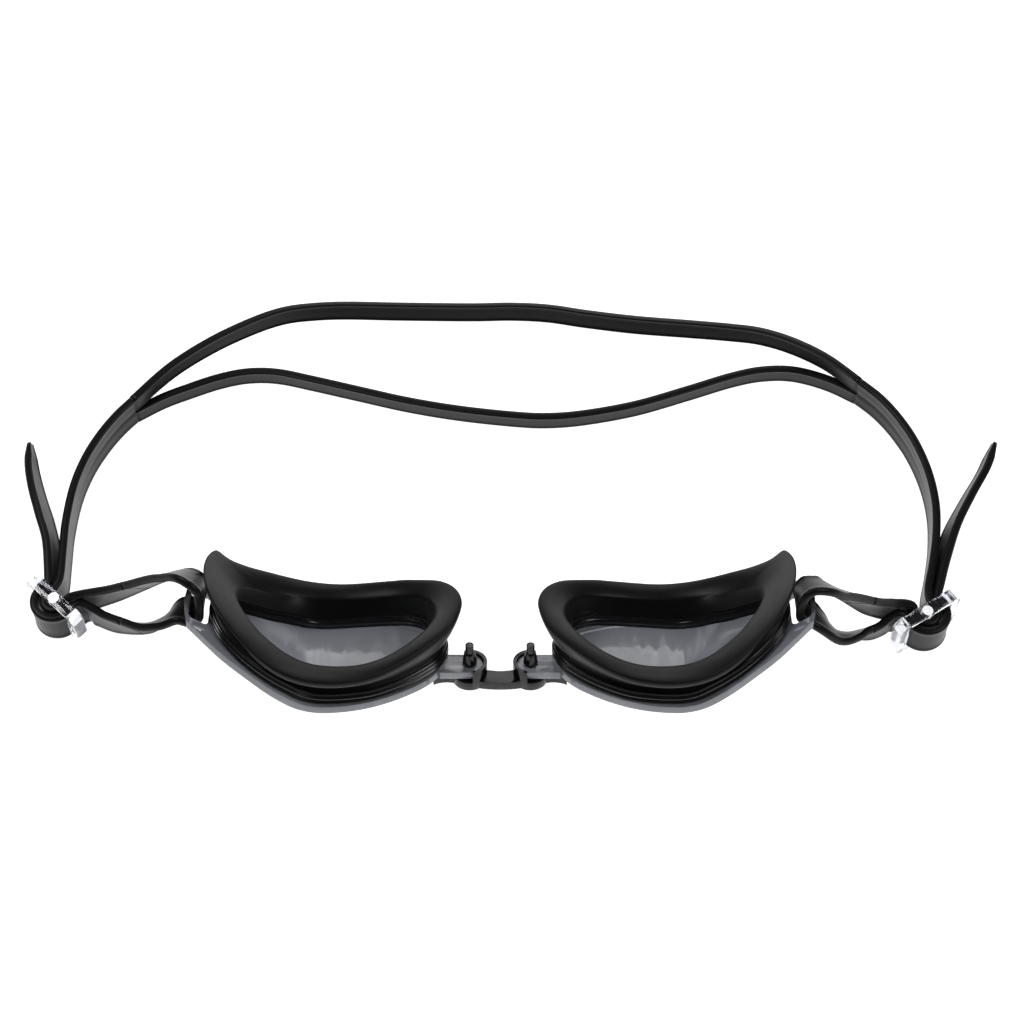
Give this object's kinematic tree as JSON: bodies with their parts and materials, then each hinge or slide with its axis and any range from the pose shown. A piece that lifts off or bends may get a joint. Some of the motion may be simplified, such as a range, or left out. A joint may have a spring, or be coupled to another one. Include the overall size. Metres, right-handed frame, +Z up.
{
  "type": "swim goggles",
  "caption": "Swim goggles with mirrored eye cups on a pegged nose bridge, and a split head strap threaded through clear ladder-lock buckles.",
  "frame": {"origin": "middle of the bounding box, on the surface that the goggles lie on", "axes": "+Z up, +X to the right cup, +Y from the cups towards the back of the strap"},
  "size_m": [0.2506, 0.1248, 0.0352],
  "materials": {
    "lens_smoke": "clear smoked polycarbonate, polished",
    "ring_black": "semi-gloss",
    "gasket_silicone": "satin silicone",
    "bridge_black": "semi-gloss",
    "strap_silicone": "satin silicone",
    "buckle_clear": "clear polycarbonate"
  },
  "bodies": {
    "bridge": {"nose_bridge": "bridge_black", "strap": "strap_silicone"},
    "cup_left": {"lens_left": "lens_smoke", "ring_left": "ring_black", "gasket_left": "gasket_silicone"},
    "cup_right": {"lens_right": "lens_smoke", "ring_right": "ring_black", "gasket_right": "gasket_silicone"},
    "buckle_left": {"buckle_left": "buckle_clear"},
    "buckle_right": {"buckle_right": "buckle_clear"}
  },
  "joints": [
    {"name": "left_cup_pivot", "type": "hinge", "parent": "bridge", "child": "cup_left", "pos_m": [-0.0103, -0.04923, 0.00997], "axis": [0, 0.342, 0.9397], "range_deg": [-6, 6], "deforming": ["strap"]},
    {"name": "right_cup_pivot", "type": "hinge", "parent": "bridge", "child": "cup_right", "pos_m": [0.0045, -0.04923, 0.00997], "axis": [0, 0.342, 0.9397], "range_deg": [-6, 6], "deforming": ["strap"]},
    {"name": "left_buckle_slide", "type": "slide", "parent": "bridge", "child": "buckle_left", "axis": [1, 0, 0], "range_m": [-0.003, 0.01], "deforming": ["strap"]},
    {"name": "right_buckle_slide", "type": "slide", "parent": "bridge", "child": "buckle_right", "axis": [-1, 0, 0], "range_m": [-0.003, 0.008], "deforming": ["strap"]}
  ]
}
